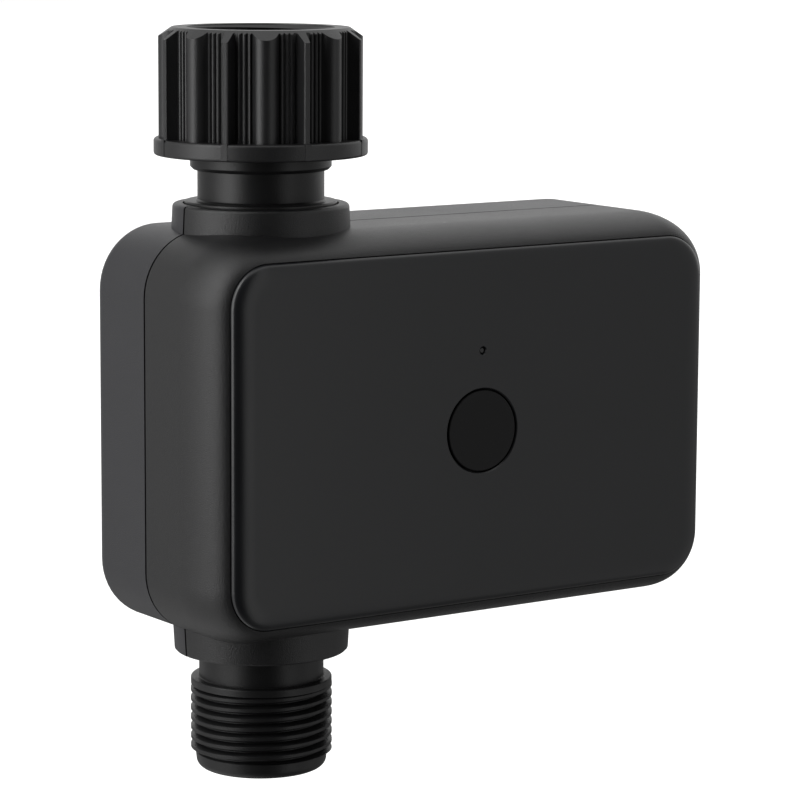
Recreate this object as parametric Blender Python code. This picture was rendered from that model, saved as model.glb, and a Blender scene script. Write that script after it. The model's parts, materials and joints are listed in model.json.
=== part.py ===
"""Battery-powered tap timer (irrigation controller), modelled piece by piece at real size.

The origin is on the pipe axis, at the sealing face of the inlet washer. +Z points up towards the tap,
-Y is the front with the button, and +X runs along the housing towards its battery end.
Every dimension is in millimetres until make_object turns it into metres.
"""

import math

import bmesh
import bpy
from mathutils import Matrix, Vector

MM = 0.001
GAP = 0.3

# Housing: one rounded box split into a front and a back shell, with a collar round each pipe.
BODY_X = (-24.95, 90.15)
BODY_Z = (-97.95, -23.15)
BODY_CORNER = 12.0
SPLIT_Y = 0.5
FRONT_Y = -23.2
BACK_Y = 19.1
FRONT_FILLET = 8.0
BACK_FILLET = 3.5
WALL = 2.2
FRONT_WALL_Y = -20.0
BACK_WALL_Y = BACK_Y - WALL
TOP_COLLAR = (16.4, -18.7)
BOTTOM_COLLAR = (16.3, -102.85)
COLLAR_BORE = 12.0
NECK_DISC_R = 14.15

# Face panel: a raised plate in a shallow recess of the front shell.
PANEL_Y = -24.6
PANEL_MARGIN = 4.1
RECESS_Y = -21.6
BUTTON = (33.25, -61.1)
BUTTON_R = 7.6
LIGHT_Z = -46.0

# Pipe: G3/4 inlet nut at the top, G3/4 male thread at the outlet.
NECK_R = 11.64
THREAD_CREST = 13.22
THREAD_ROOT = 12.06
THREAD_PITCH = 1.814
THREAD_TOP = -109.4
THREAD_END = -122.3
OUTLET_END = -125.1
OUTLET_BORE = 8.0
NUT_TOP = 13.65
NUT_BOTTOM = -9.75
NUT_FLANGE_R = 19.7
NUT_FLANGE_TOP = -6.6
NUT_TIP_R = 19.6
NUT_BODY_R = 16.9
NUT_RIM_R = 16.45
NUT_FINS = 8
NUT_FIN_ANGLE = 38.2

# Ball valve: the ball turns a quarter about the stem, which lies along X.
BALL_Z = -61.0
BALL_R = 9.0
BALL_BORE = 5.0
CHAMBER_R = 9.7
CHAMBER_FLOOR = -72.3
BODY_TOP = -42.3
STEM_R = 2.95

# Gear train from the motor to the stem.
MODULE = 0.8
OUTPUT_TEETH = 24
COMPOUND_SMALL_TEETH = 10
COMPOUND_LARGE_TEETH = 18
MOTOR_TEETH = 9
MOTOR_Y = -10.6
COMPOUND_DROP = math.sqrt((MODULE * (OUTPUT_TEETH + COMPOUND_SMALL_TEETH) / 2) ** 2 - MOTOR_Y ** 2)
COMPOUND_Z = BALL_Z - COMPOUND_DROP
MOTOR_Z = COMPOUND_Z - MODULE * (COMPOUND_LARGE_TEETH + MOTOR_TEETH) / 2

# Battery compartment: four AA cells side by side behind a door in the back.
CELL_R = 7.1
CELL_LENGTH = 50.5
CELL_PITCH = 14.5
CELL_Y = 7.5
CELLS_Z = -60.5
TRAY_X = (25.5, 83.5)
TRAY_Y = (-1.4, 14.0)
TRAY_Z = (-91.25, -29.75)
TRAY_WALL = 1.5
DOOR_X = (24.9, 84.1)
DOOR_Z = (-92.1, -28.9)
DOOR_Y = (BACK_Y - 2.0, BACK_Y)
DOOR_TAB_X = 15.9
DOOR_TAB_HALF = 8.5
DOOR_SCREW_X = 20.6

SHELL_SCREWS = ((-16.2, -31.9), (19.5, -31.2), (19.5, -91.0), (-16.2, -89.1))
TRAY_SCREWS = ((72.0, -46.0), (72.0, -75.0))
BOARD_SCREWS = ((62.0, -36.0), (62.0, -67.0))
POST_R = 3.2


# ---------------------------------------------------------------------------------------------
# Scene and materials


def clear_scene():
    for obj in list(bpy.data.objects):
        bpy.data.objects.remove(obj, do_unlink=True)


def material(name, colour, roughness, metallic=0.0):
    """A plain Principled material; each sub-part gets one of its own."""
    mat = bpy.data.materials.new(name)
    mat.use_nodes = True
    shader = mat.node_tree.nodes["Principled BSDF"]
    shader.inputs["Base Color"].default_value = (*colour, 1.0)
    shader.inputs["Roughness"].default_value = roughness
    shader.inputs["Metallic"].default_value = metallic
    return mat


BLACK_PLASTIC = ((0.030, 0.030, 0.032), 0.45, 0.0)
PANEL_PLASTIC = ((0.022, 0.023, 0.025), 0.38, 0.0)
NATURAL_PLASTIC = ((0.62, 0.60, 0.55), 0.5, 0.0)
RUBBER = ((0.018, 0.018, 0.018), 0.7, 0.0)
SEAT_PLASTIC = ((0.80, 0.80, 0.78), 0.35, 0.0)
STEEL = ((0.55, 0.55, 0.56), 0.3, 1.0)
BRASS = ((0.75, 0.56, 0.27), 0.3, 1.0)
BOARD_GREEN = ((0.03, 0.16, 0.08), 0.45, 0.0)
CELL_JACKET = ((0.10, 0.12, 0.14), 0.35, 0.0)
CLEAR_PLASTIC = ((0.80, 0.82, 0.82), 0.15, 0.0)


def make_object(name, bm, look, origin=(0.0, 0.0, 0.0)):
    """Turns a bmesh in millimetres into an object whose origin lies at the given point."""
    bmesh.ops.recalc_face_normals(bm, faces=bm.faces)
    bmesh.ops.translate(bm, verts=bm.verts, vec=-Vector(origin))
    bmesh.ops.scale(bm, verts=bm.verts, vec=(MM, MM, MM))
    mesh = bpy.data.meshes.new(name)
    bm.to_mesh(mesh)
    bm.free()
    mesh.shade_smooth()
    mesh.set_sharp_from_angle(angle=math.radians(35))
    obj = bpy.data.objects.new(name, mesh)
    obj.location = Vector(origin) * MM
    bpy.context.collection.objects.link(obj)
    obj.data.materials.append(material(name, *look))
    return obj


def tool(name, bm):
    """A cutter or an added shape that a Boolean reads; it isn't a part."""
    obj = make_object("tool_" + name, bm, BLACK_PLASTIC)
    obj.hide_render = True
    obj.display_type = "WIRE"
    return obj


def combine(target, operation, name, bm):
    modifier = target.modifiers.new(name, "BOOLEAN")
    modifier.operation = operation
    modifier.object = tool(target.name + "_" + name, bm)


def cut(target, name, bm):
    combine(target, "DIFFERENCE", name, bm)


def add(target, name, bm):
    combine(target, "UNION", name, bm)


# ---------------------------------------------------------------------------------------------
# Basic shapes, each returned as a bmesh in millimetres


def merged(*shapes):
    """Several shapes that don't touch, held in one bmesh, as a set of cutters or added posts."""
    bm = bmesh.new()
    for shape in shapes:
        mesh = bpy.data.meshes.new("scratch")
        shape.to_mesh(mesh)
        shape.free()
        bm.from_mesh(mesh)
        bpy.data.meshes.remove(mesh)
    return bm


def box(x, y, z):
    bm = bmesh.new()
    bmesh.ops.create_cube(bm, size=1.0)
    size = (x[1] - x[0], y[1] - y[0], z[1] - z[0])
    centre = ((x[0] + x[1]) / 2, (y[0] + y[1]) / 2, (z[0] + z[1]) / 2)
    bmesh.ops.scale(bm, verts=bm.verts, vec=size)
    bmesh.ops.translate(bm, verts=bm.verts, vec=centre)
    return bm


def turned(profile, steps=20, closed=False):
    """Spins (radius, height) points about Z. An open profile starts and ends on the axis."""
    bm = bmesh.new()
    verts = [bm.verts.new((r, 0.0, z)) for r, z in profile]
    edges = [bm.edges.new(pair) for pair in zip(verts, verts[1:])]
    if closed:
        edges.append(bm.edges.new((verts[-1], verts[0])))
    bmesh.ops.spin(bm, geom=verts + edges, cent=(0, 0, 0), axis=(0, 0, 1), angle=math.tau,
                   steps=steps, use_merge=True)
    bmesh.ops.remove_doubles(bm, verts=bm.verts, dist=1e-5)
    bmesh.ops.recalc_face_normals(bm, faces=bm.faces)
    return bm


def cylinder(radius, low, high, steps=20):
    return turned([(0, low), (radius, low), (radius, high), (0, high)], steps)


def tube(inner, outer, low, high, steps=20):
    return turned([(inner, low), (outer, low), (outer, high), (inner, high)], steps, closed=True)


def ring(major, minor, height, steps=20, sides=6):
    angles = [math.tau * i / sides for i in range(sides)]
    profile = [(major + minor * math.cos(a), height + minor * math.sin(a)) for a in angles]
    return turned(profile, steps, closed=True)


def moved(bm, to=(0, 0, 0), axis="Z"):
    """Lays a shape drawn along Z along another axis, then moves it."""
    turns = {"Z": Matrix(), "X": Matrix.Rotation(math.radians(90), 4, "Y"),
             "Y": Matrix.Rotation(math.radians(-90), 4, "X")}
    bmesh.ops.transform(bm, matrix=Matrix.Translation(to) @ turns[axis], verts=bm.verts)
    return bm


def prism(outline, low, high):
    """An outline in XY, extruded along Z."""
    bm = bmesh.new()
    face = bm.faces.new([bm.verts.new((x, y, low)) for x, y in outline])
    grown = bmesh.ops.extrude_face_region(bm, geom=[face])["geom"]
    top = [item for item in grown if isinstance(item, bmesh.types.BMVert)]
    bmesh.ops.translate(bm, verts=top, vec=(0, 0, high - low))
    bmesh.ops.recalc_face_normals(bm, faces=bm.faces)
    return bm


def rounded_outline(x, z, radius, steps=4):
    points = []
    corners = ((x[1], z[1], 0), (x[0], z[1], 90), (x[0], z[0], 180), (x[1], z[0], 270))
    for corner_x, corner_z, start in corners:
        centre_x = corner_x - radius if corner_x == x[1] else corner_x + radius
        centre_z = corner_z - radius if corner_z == z[1] else corner_z + radius
        for i in range(steps + 1):
            angle = math.radians(start + 90 * i / steps)
            points.append((centre_x + radius * math.cos(angle), centre_z + radius * math.sin(angle)))
    return points


def rounded_plate(x, z, radius, y, steps=4, fillet=0.0, fillet_steps=4):
    """A rounded rectangle in XZ from y[0] to y[1]; the edge at y[1] can be filleted."""
    bm = bmesh.new()
    outline = rounded_outline(x, z, radius, steps)
    face = bm.faces.new([bm.verts.new((px, y[0], pz)) for px, pz in outline])
    grown = bmesh.ops.extrude_face_region(bm, geom=[face])["geom"]
    verts = [item for item in grown if isinstance(item, bmesh.types.BMVert)]
    bmesh.ops.translate(bm, verts=verts, vec=(0, y[1] - y[0], 0))
    bmesh.ops.recalc_face_normals(bm, faces=bm.faces)
    if fillet:
        far = [edge for edge in bm.edges if all(abs(v.co.y - y[1]) < 1e-6 for v in edge.verts)]
        bmesh.ops.bevel(bm, geom=far, offset=fillet, segments=fillet_steps, profile=0.5,
                        affect="EDGES", clamp_overlap=True)
    return bm


def inset(span, by):
    return (span[0] + by, span[1] - by)


def threaded_rod(root, crest, low, high, steps=12):
    """A rod with a helical thread and flat ends."""
    pitch = THREAD_PITCH
    profile = [(root, 0.0), (root, 0.2 * pitch), (crest, 0.45 * pitch), (crest, 0.75 * pitch),
               (root, pitch)]
    turns = math.ceil((high - low) / pitch) + 2
    bm = bmesh.new()
    verts = [bm.verts.new((r, 0.0, low - 1.5 * pitch + z)) for r, z in profile]
    edges = [bm.edges.new(pair) for pair in zip(verts, verts[1:])]
    bmesh.ops.spin(bm, geom=verts + edges, cent=(0, 0, 0), axis=(0, 0, 1), angle=math.tau * turns,
                   steps=steps * turns, dvec=(0, 0, pitch / steps), use_merge=False)
    bmesh.ops.remove_doubles(bm, verts=bm.verts, dist=1e-4)
    for height, upward in ((low, False), (high, True)):
        geometry = list(bm.verts) + list(bm.edges) + list(bm.faces)
        result = bmesh.ops.bisect_plane(bm, geom=geometry, plane_co=(0, 0, height),
                                        plane_no=(0, 0, 1), clear_outer=upward,
                                        clear_inner=not upward)
        rim = [item for item in result["geom_cut"] if isinstance(item, bmesh.types.BMEdge)]
        bmesh.ops.holes_fill(bm, edges=rim)
    bmesh.ops.recalc_face_normals(bm, faces=bm.faces)
    return bm


def posts(places, y, radius, steps=8):
    return [moved(cylinder(radius, y[0], y[1], steps), (x, 0, z), "Y") for x, z in places]


# ---------------------------------------------------------------------------------------------
# Housing


def housing_block(y_open, y_face, fillet, by=0.0):
    """The housing's rounded box from an open end to one filleted face."""
    return rounded_plate(inset(BODY_X, by), inset(BODY_Z, by), BODY_CORNER - by,
                         (y_open, y_face), fillet=fillet)


def collars():
    """The ring round the inlet neck and the one round the outlet neck, before the split."""
    top_r, top_z = TOP_COLLAR
    low_r, low_z = BOTTOM_COLLAR
    top = [(0, BODY_Z[1] - 1.5), (top_r + 0.15, BODY_Z[1] - 1.5), (top_r, top_z - 0.8),
           (top_r - 0.25, top_z - 0.25), (top_r - 0.8, top_z), (0, top_z)]
    low = [(0, low_z), (low_r - 0.6, low_z), (low_r, low_z + 0.6),
           (low_r + 0.25, BODY_Z[0] + 1.5), (0, BODY_Z[0] + 1.5)]
    return merged(turned(top, 24), turned(low, 24))


def pipe_holes():
    """The bores through both collars, and the shallow seat at the top of the inlet collar."""
    top_r, top_z = TOP_COLLAR
    seat_r = NECK_DISC_R + GAP
    inlet = turned([(0, -30), (COLLAR_BORE, -30), (COLLAR_BORE, top_z - 0.9),
                    (seat_r, top_z - 0.9), (seat_r, top_z + 1), (0, top_z + 1)], 24)
    outlet = cylinder(COLLAR_BORE, -105, -90, 24)
    return merged(inlet, outlet)


def front_shell():
    rim = SPLIT_Y - GAP / 2
    shell = make_object("front_shell", housing_block(6, FRONT_Y, FRONT_FILLET), BLACK_PLASTIC)
    add(shell, "collars", collars())
    cut(shell, "split", box((-60, 120), (rim, 40), (-120, 0)))
    edge = PANEL_MARGIN - GAP
    cut(shell, "panel_recess", rounded_plate(inset(BODY_X, edge), inset(BODY_Z, edge),
                                             BODY_CORNER - edge, (RECESS_Y, FRONT_Y - 3), 5))
    cut(shell, "cavity", housing_block(rim + 1, FRONT_WALL_Y, 6.0, WALL))
    cut(shell, "pipe_holes", pipe_holes())
    screws = posts(SHELL_SCREWS, (FRONT_WALL_Y - 0.8, -0.2), POST_R)
    trays = posts(TRAY_SCREWS, (FRONT_WALL_Y - 0.8, TRAY_Y[0] - GAP), 2.8)
    boards = posts(BOARD_SCREWS, (FRONT_WALL_Y - 0.8, -17.3), 2.4)
    add(shell, "posts", merged(*screws, *trays, *boards))
    pilots = posts(SHELL_SCREWS, (-14, 2), 1.6) + posts(TRAY_SCREWS, (-12, 2), 1.4)
    pilots += posts(BOARD_SCREWS, (-19.5, -16), 1.1)
    pilots += posts([BUTTON], (RECESS_Y - 1, FRONT_WALL_Y + 1), 4.5, 16)
    pilots += posts([(BUTTON[0], LIGHT_Z)], (RECESS_Y - 1, FRONT_WALL_Y + 1), 1.7)
    cut(shell, "holes", merged(*pilots))


def door_opening(grow, y):
    """The door's outline with its screw tab, as one solid from y[0] to y[1]."""
    tab = (BALL_Z - DOOR_TAB_HALF - grow, BALL_Z + DOOR_TAB_HALF + grow)
    left = DOOR_TAB_X - grow
    x0, x1 = DOOR_X[0] - grow, DOOR_X[1] + grow
    z0, z1 = DOOR_Z[0] - grow, DOOR_Z[1] + grow
    outline = rounded_outline((x0, x1), (z0, z1), 4.7 + grow, 4)
    round_tab = rounded_outline((left, x0 + 8), tab, 3.0 + grow, 4)
    after_left_top = 2 * 5
    notch = [p for p in round_tab if p[0] < x0 - 0.5]
    points = outline[:after_left_top] + [(x0, tab[1])] + notch + [(x0, tab[0])]
    points += outline[after_left_top:]
    shape = prism([(px, pz) for px, pz in points], 0, 1)
    swap = Matrix(((1, 0, 0, 0), (0, 0, y[1] - y[0], y[0]), (0, 1, 0, 0), (0, 0, 0, 1)))
    bmesh.ops.transform(shape, matrix=swap, verts=shape.verts)
    bmesh.ops.recalc_face_normals(shape, faces=shape.faces)
    return shape


def back_shell():
    rim = SPLIT_Y + GAP / 2
    shell = make_object("back_shell", housing_block(-6, BACK_Y, BACK_FILLET), BLACK_PLASTIC)
    add(shell, "collars", collars())
    cut(shell, "split", box((-60, 120), (-40, rim), (-120, 0)))
    cut(shell, "cavity", housing_block(rim - 1, BACK_WALL_Y, 1.5, WALL))
    cut(shell, "pipe_holes", pipe_holes())
    ledge = box((14.2, 24.2), (12.7, BACK_WALL_Y + 0.8), (BALL_Z - 10.5, BALL_Z + 10.5))
    add(shell, "posts", merged(*posts(SHELL_SCREWS, (0.1, BACK_WALL_Y + 0.8), POST_R), ledge))
    cut(shell, "door_seat", door_opening(GAP, (DOOR_Y[0] - GAP, BACK_Y + 1)))
    stepped = [(0, -1), (1.6, -1), (1.6, 14.2), (2.7, 14.2), (2.7, BACK_Y + 1), (0, BACK_Y + 1)]
    holes = [moved(turned(stepped, 12), (x, 0, z), "Y") for x, z in SHELL_SCREWS]
    holes.append(moved(cylinder(1.7, 11, BACK_Y - 1, 12), (DOOR_SCREW_X, 0, BALL_Z), "Y"))
    cut(shell, "holes", merged(*holes))


def face_panel():
    span_x, span_z = inset(BODY_X, PANEL_MARGIN), inset(BODY_Z, PANEL_MARGIN)
    plate = rounded_plate(span_x, span_z, BODY_CORNER - PANEL_MARGIN, (RECESS_Y - GAP, PANEL_Y),
                          fillet=1.0, fillet_steps=3)
    panel = make_object("face_panel", plate, PANEL_PLASTIC)
    hole = posts([BUTTON], (PANEL_Y - 1, RECESS_Y + 1), BUTTON_R + GAP, 24)
    light = posts([(BUTTON[0], LIGHT_Z)], (PANEL_Y - 1, RECESS_Y + 1), 0.75, 12)
    cut(panel, "holes", merged(*hole, *light))
    cut(panel, "button_seat", posts([BUTTON], (PANEL_Y + 1.3, RECESS_Y + 1), 9.2, 24)[0])


def split_line_seals():
    """The rubber cord inside the split line, in two runs because the pipe passes between them."""
    for name, side in (("shell_seal_left", -1), ("shell_seal_right", 1)):
        outer = rounded_plate(inset(BODY_X, 2.5), inset(BODY_Z, 2.5), 9.5, (-0.4, 1.4))
        seal = make_object(name, outer, RUBBER)
        cut(seal, "middle", rounded_plate(inset(BODY_X, 3.7), inset(BODY_Z, 3.7), 8.3, (-2, 3)))
        kept = (-60, 12.8) if side > 0 else (-12.8, 120)
        cut(seal, "pipe_gap", box(kept, (-3, 4), (-120, 0)))


def screws():
    """Shell screws from the back, tray screws under the cells and board screws behind the board."""
    sets = (("shell_screw", SHELL_SCREWS, (16.4, 14.5, -12.0), 2.4, 1.2),
            ("tray_screw", TRAY_SCREWS, (1.7, 0.4, -10.0), 2.0, 1.1),
            ("board_screw", BOARD_SCREWS, (-14.0, -15.1, -18.8), 1.8, 0.8))
    for name, places, (top, under, tip), head_r, shank_r in sets:
        for number, (x, z) in enumerate(places, 1):
            profile = [(0, tip), (shank_r * 0.6, tip), (shank_r, tip + 0.8), (shank_r, under),
                       (head_r, under), (head_r, top - 0.3), (head_r - 0.4, top), (0, top)]
            screw = make_object(f"{name}_{number}", moved(turned(profile, 8), (x, 0, z), "Y"), STEEL)
            reach = head_r * 0.55
            cut(screw, "slot", box((x - reach, x + reach), (top - 0.7, top + 1), (z - 0.3, z + 0.3)))


# ---------------------------------------------------------------------------------------------
# Button, light and circuit board


def button():
    x, z = BUTTON
    front = PANEL_Y
    profile = [(0, front), (BUTTON_R - 0.3, front), (BUTTON_R, front + 0.3),
               (BUTTON_R, front + 1.6), (8.8, front + 1.6), (8.8, front + 2.3), (2.0, front + 2.3),
               (2.0, front + 4.6), (0, front + 4.6)]
    make_object("button_cap", moved(turned(profile, 24), (x, 0, z), "Y"), BLACK_PLASTIC, (x, front, z))
    actuator = moved(cylinder(1.3, -19.7, -18.9, 12), (x, 0, z), "Y")
    make_object("switch_actuator", actuator, BRASS, (x, -19.7, z))
    seal = moved(tube(2.3, 4.2, -21.3, -20.3, 16), (x, 0, z), "Y")
    make_object("button_seal", seal, RUBBER)
    switch = make_object("tact_switch", box((x - 3, x + 3), (-18.6, -17.3), (z - 3, z + 3)), RUBBER)
    cut(switch, "well", posts([BUTTON], (-20, -18.1), 1.7, 16)[0])


def status_light():
    x = BUTTON[0]
    profile = [(0, -24.2), (0.45, -24.2), (0.45, -21.75), (1.4, -21.3), (1.4, -18.9), (0, -18.9)]
    make_object("light_pipe", moved(turned(profile, 8), (x, 0, LIGHT_Z), "Y"), CLEAR_PLASTIC)
    led = box((x - 0.8, x + 0.8), (-18.5, -17.3), (LIGHT_Z - 0.4, LIGHT_Z + 0.4))
    make_object("status_led", led, CLEAR_PLASTIC)


def circuit_board():
    board = make_object("circuit_board", box((28.0, 66.0), (-17.0, -15.4), (-71.5, -31.0)), BOARD_GREEN)
    cut(board, "screw_holes", merged(*posts(BOARD_SCREWS, (-18, -14), 1.1)))
    module = box((38.0, 56.0), (-15.1, -12.7), (-50.0, -37.0))
    make_object("radio_module", module, STEEL)


# ---------------------------------------------------------------------------------------------
# Inlet: swivel nut, washer, filter, tube and retainer


def nut_outline():
    """Eight tall fins with a rounded lobe in the middle of each bay."""
    points = []
    bay = 360 / NUT_FINS
    fin_half = math.degrees(0.75 / NUT_TIP_R)
    lobe_half = 7.0
    for i in range(NUT_FINS):
        start = NUT_FIN_ANGLE + i * bay
        spots = [(NUT_BODY_R, -fin_half * 1.2), (NUT_TIP_R, -fin_half), (NUT_TIP_R, fin_half),
                 (NUT_BODY_R, fin_half * 1.2), (NUT_BODY_R, bay * 0.2)]
        for step in range(4):
            share = step / 3
            lift = 1.2 * math.sin(math.pi * share)
            spots.append((NUT_BODY_R + lift, bay / 2 + lobe_half * (2 * share - 1)))
        spots.append((NUT_BODY_R, bay * 0.8))
        for radius, angle in spots:
            turn = math.radians(start + angle)
            points.append((radius * math.cos(turn), radius * math.sin(turn)))
    return points


def swivel_nut():
    nut = make_object("swivel_nut", prism(nut_outline(), NUT_FLANGE_TOP - 1, NUT_TOP), BLACK_PLASTIC)
    reach = NUT_TIP_R + 3
    cone = [(0, NUT_BOTTOM - 5), (reach, NUT_BOTTOM - 5), (reach, NUT_TOP - (reach - NUT_RIM_R) * 0.85),
            (NUT_RIM_R, NUT_TOP), (0, NUT_TOP)]
    combine(nut, "INTERSECT", "chamfer", turned(cone, 32))
    flange = [(0, NUT_BOTTOM), (NUT_FLANGE_R - 0.4, NUT_BOTTOM), (NUT_FLANGE_R, NUT_BOTTOM + 0.4),
              (NUT_FLANGE_R, NUT_FLANGE_TOP - 0.4), (NUT_FLANGE_R - 0.4, NUT_FLANGE_TOP),
              (0, NUT_FLANGE_TOP)]
    add(nut, "flange", turned(flange, 32))
    bore = NECK_R + GAP
    cavity = [(0, NUT_BOTTOM - 1), (bore, NUT_BOTTOM - 1), (bore, -6.8), (13.35, -6.8), (13.35, -1.0),
              (THREAD_ROOT + 0.15, 0.2), (THREAD_ROOT + 0.15, NUT_TOP - 1.2), (13.6, NUT_TOP + 0.2),
              (0, NUT_TOP + 0.2)]
    cut(nut, "cavity", turned(cavity, 24))
    thread = threaded_rod(THREAD_ROOT - 0.4, THREAD_CREST + 0.15, -0.6, NUT_TOP + 1)
    cut(nut, "thread", thread)


def inlet_parts():
    make_object("inlet_washer", tube(8.3, 11.8, -2.7, 0.0, 32), RUBBER)
    basket = [(0, -17.7), (5.6, -17.7), (7.5, -13.0), (7.5, -4.4), (9.1, -4.4), (9.1, -3.3), (6.8, -3.3),
              (6.8, -12.8), (5.2, -16.9), (0, -16.9)]
    strainer = make_object("inlet_filter", turned(basket, 24), NATURAL_PLASTIC)
    slots = [moved(box((3, 9), (-0.6, 0.6), (-12.3, -5.6))) for _ in range(8)]
    for i, slot in enumerate(slots):
        bmesh.ops.rotate(slot, verts=slot.verts, matrix=Matrix.Rotation(math.tau * i / 8, 3, "Z"))
    cut(strainer, "slots", merged(*slots))
    disc = (TOP_COLLAR[1] - 0.6, TOP_COLLAR[1] + 0.5)
    profile = [(OUTLET_BORE, -49.6), (9.4, -49.6), (9.4, -42.0), (13.5, -42.0), (13.5, -39.0),
               (NECK_R, -37.0), (NECK_R, disc[0]), (NECK_DISC_R, disc[0]), (NECK_DISC_R, disc[1]),
               (NECK_R, disc[1]), (NECK_R, -6.5), (12.9, -6.5), (12.9, -3.0), (9.4, -3.0),
               (9.4, -4.7), (OUTLET_BORE, -4.7)]
    make_object("inlet_tube", turned(profile, 28, closed=True), BLACK_PLASTIC)
    inner = NECK_R + GAP
    collar = [(inner, -12.5), (12.5, -12.5), (12.9, -12.1), (12.9, -10.05), (inner, -10.05)]
    make_object("retainer_ring", turned(collar, 28, closed=True), BLACK_PLASTIC)
    make_object("spigot_o_ring", ring(10.55, 0.7, -43.0), RUBBER)


# ---------------------------------------------------------------------------------------------
# Ball valve


def valve_body():
    outer = [(0, OUTLET_END), (11.2, OUTLET_END), (12.1, OUTLET_END + 0.9), (12.1, THREAD_END - 0.2),
             (11.6, THREAD_END + 0.4), (11.6, THREAD_TOP - 0.4), (13.1, THREAD_TOP),
             (13.1, -108.17), (NECK_R, -108.17), (NECK_R, -82.0), (12.6, -78.0), (12.6, -46.0),
             (13.5, -45.0), (13.5, BODY_TOP), (0, BODY_TOP)]
    body = make_object("valve_body", turned(outer, 28), BLACK_PLASTIC)
    add(body, "thread", threaded_rod(THREAD_ROOT, THREAD_CREST, THREAD_END, THREAD_TOP - 0.2, 14))
    add(body, "stem_boss", moved(cylinder(7.0, 8.0, 19.9, 20), (0, 0, BALL_Z), "X"))
    waterway = [(0, OUTLET_END - 1), (OUTLET_BORE, OUTLET_END - 1), (OUTLET_BORE, CHAMBER_FLOOR),
                (CHAMBER_R, CHAMBER_FLOOR), (CHAMBER_R, -44.0), (11.5, -44.0), (11.5, BODY_TOP + 1),
                (0, BODY_TOP + 1)]
    cut(body, "waterway", turned(waterway, 28))
    bore = turned([(0, 6), (STEM_R + GAP, 6), (STEM_R + GAP, 15), (5.2, 15), (5.2, 22), (0, 22)], 20)
    cut(body, "stem_bore", moved(bore, (0, 0, BALL_Z), "X"))


def seats():
    """Two sealing rings whose cones just clear the ball."""
    reach = (BALL_R + 0.1) * math.sqrt(2)
    profile = [(5.8, -11.0), (9.4, -11.0), (9.4, 8.9 - reach), (8.9, 8.9 - reach), (5.8, 5.8 - reach)]
    lower = turned(profile, 24, closed=True)
    make_object("lower_seat", moved(lower, (0, 0, BALL_Z)), SEAT_PLASTIC)
    upper = turned([(r, -z) for r, z in profile], 24, closed=True)
    make_object("upper_seat", moved(upper, (0, 0, BALL_Z)), SEAT_PLASTIC)


def ball_and_stem():
    sphere = bmesh.new()
    bmesh.ops.create_uvsphere(sphere, u_segments=20, v_segments=12, radius=BALL_R)
    pivot = (0, 0, BALL_Z)
    ball = make_object("ball", moved(sphere, pivot, "X"), BRASS, pivot)
    cut(ball, "bore", moved(cylinder(BALL_BORE, -12, 12, 20), pivot, "Y"))
    cut(ball, "slot", box((7.0, 12), (-12, 12), (BALL_Z - 1.5, BALL_Z + 1.5)))
    shaft = [(0, 9.3), (STEM_R, 9.3), (STEM_R, 21.0), (0, 21.0)]
    stem = make_object("valve_stem", moved(turned(shaft, 20), pivot, "X"), BRASS, pivot)
    add(stem, "tang", box((7.3, 10), (-2.4, 2.4), (BALL_Z - 1.1, BALL_Z + 1.1)))
    add(stem, "square_end", box((20, 24.4), (-1.9, 1.9), (BALL_Z - 1.9, BALL_Z + 1.9)))
    make_object("stem_o_ring", moved(ring(4.1, 0.75, 16.1), pivot, "X"), RUBBER)
    gland = tube(STEM_R + GAP, 4.9, 17.3, 20.0)
    make_object("stem_gland", moved(gland, pivot, "X"), BRASS)


# ---------------------------------------------------------------------------------------------
# Gear train and motor


def gear_outline(teeth, turn):
    """Slim straight-sided teeth, so that a pair in mesh has backlash on both flanks."""
    pitch_r = MODULE * teeth / 2
    tooth = math.tau / teeth
    flank = ((pitch_r - 1.15 * MODULE, -0.27), (pitch_r, -0.185), (pitch_r + 0.75 * MODULE, -0.08),
             (pitch_r + 0.75 * MODULE, 0.08), (pitch_r, 0.185), (pitch_r - 1.15 * MODULE, 0.27))
    points = []
    for i in range(teeth):
        for radius, share in flank:
            angle = turn + tooth * (i + share)
            points.append((radius * math.cos(angle), radius * math.sin(angle)))
    return points


def gear_wheel(teeth, x, centre, turn):
    """A gear in the YZ plane; turn is the angle of one tooth, measured from +Y towards +Z."""
    bm = prism(gear_outline(teeth, turn), x[0], x[1])
    lay = Matrix(((0, 0, 1, 0), (1, 0, 0, centre[0]), (0, 1, 0, centre[1]), (0, 0, 0, 1)))
    bmesh.ops.transform(bm, matrix=lay, verts=bm.verts)
    return bm


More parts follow.
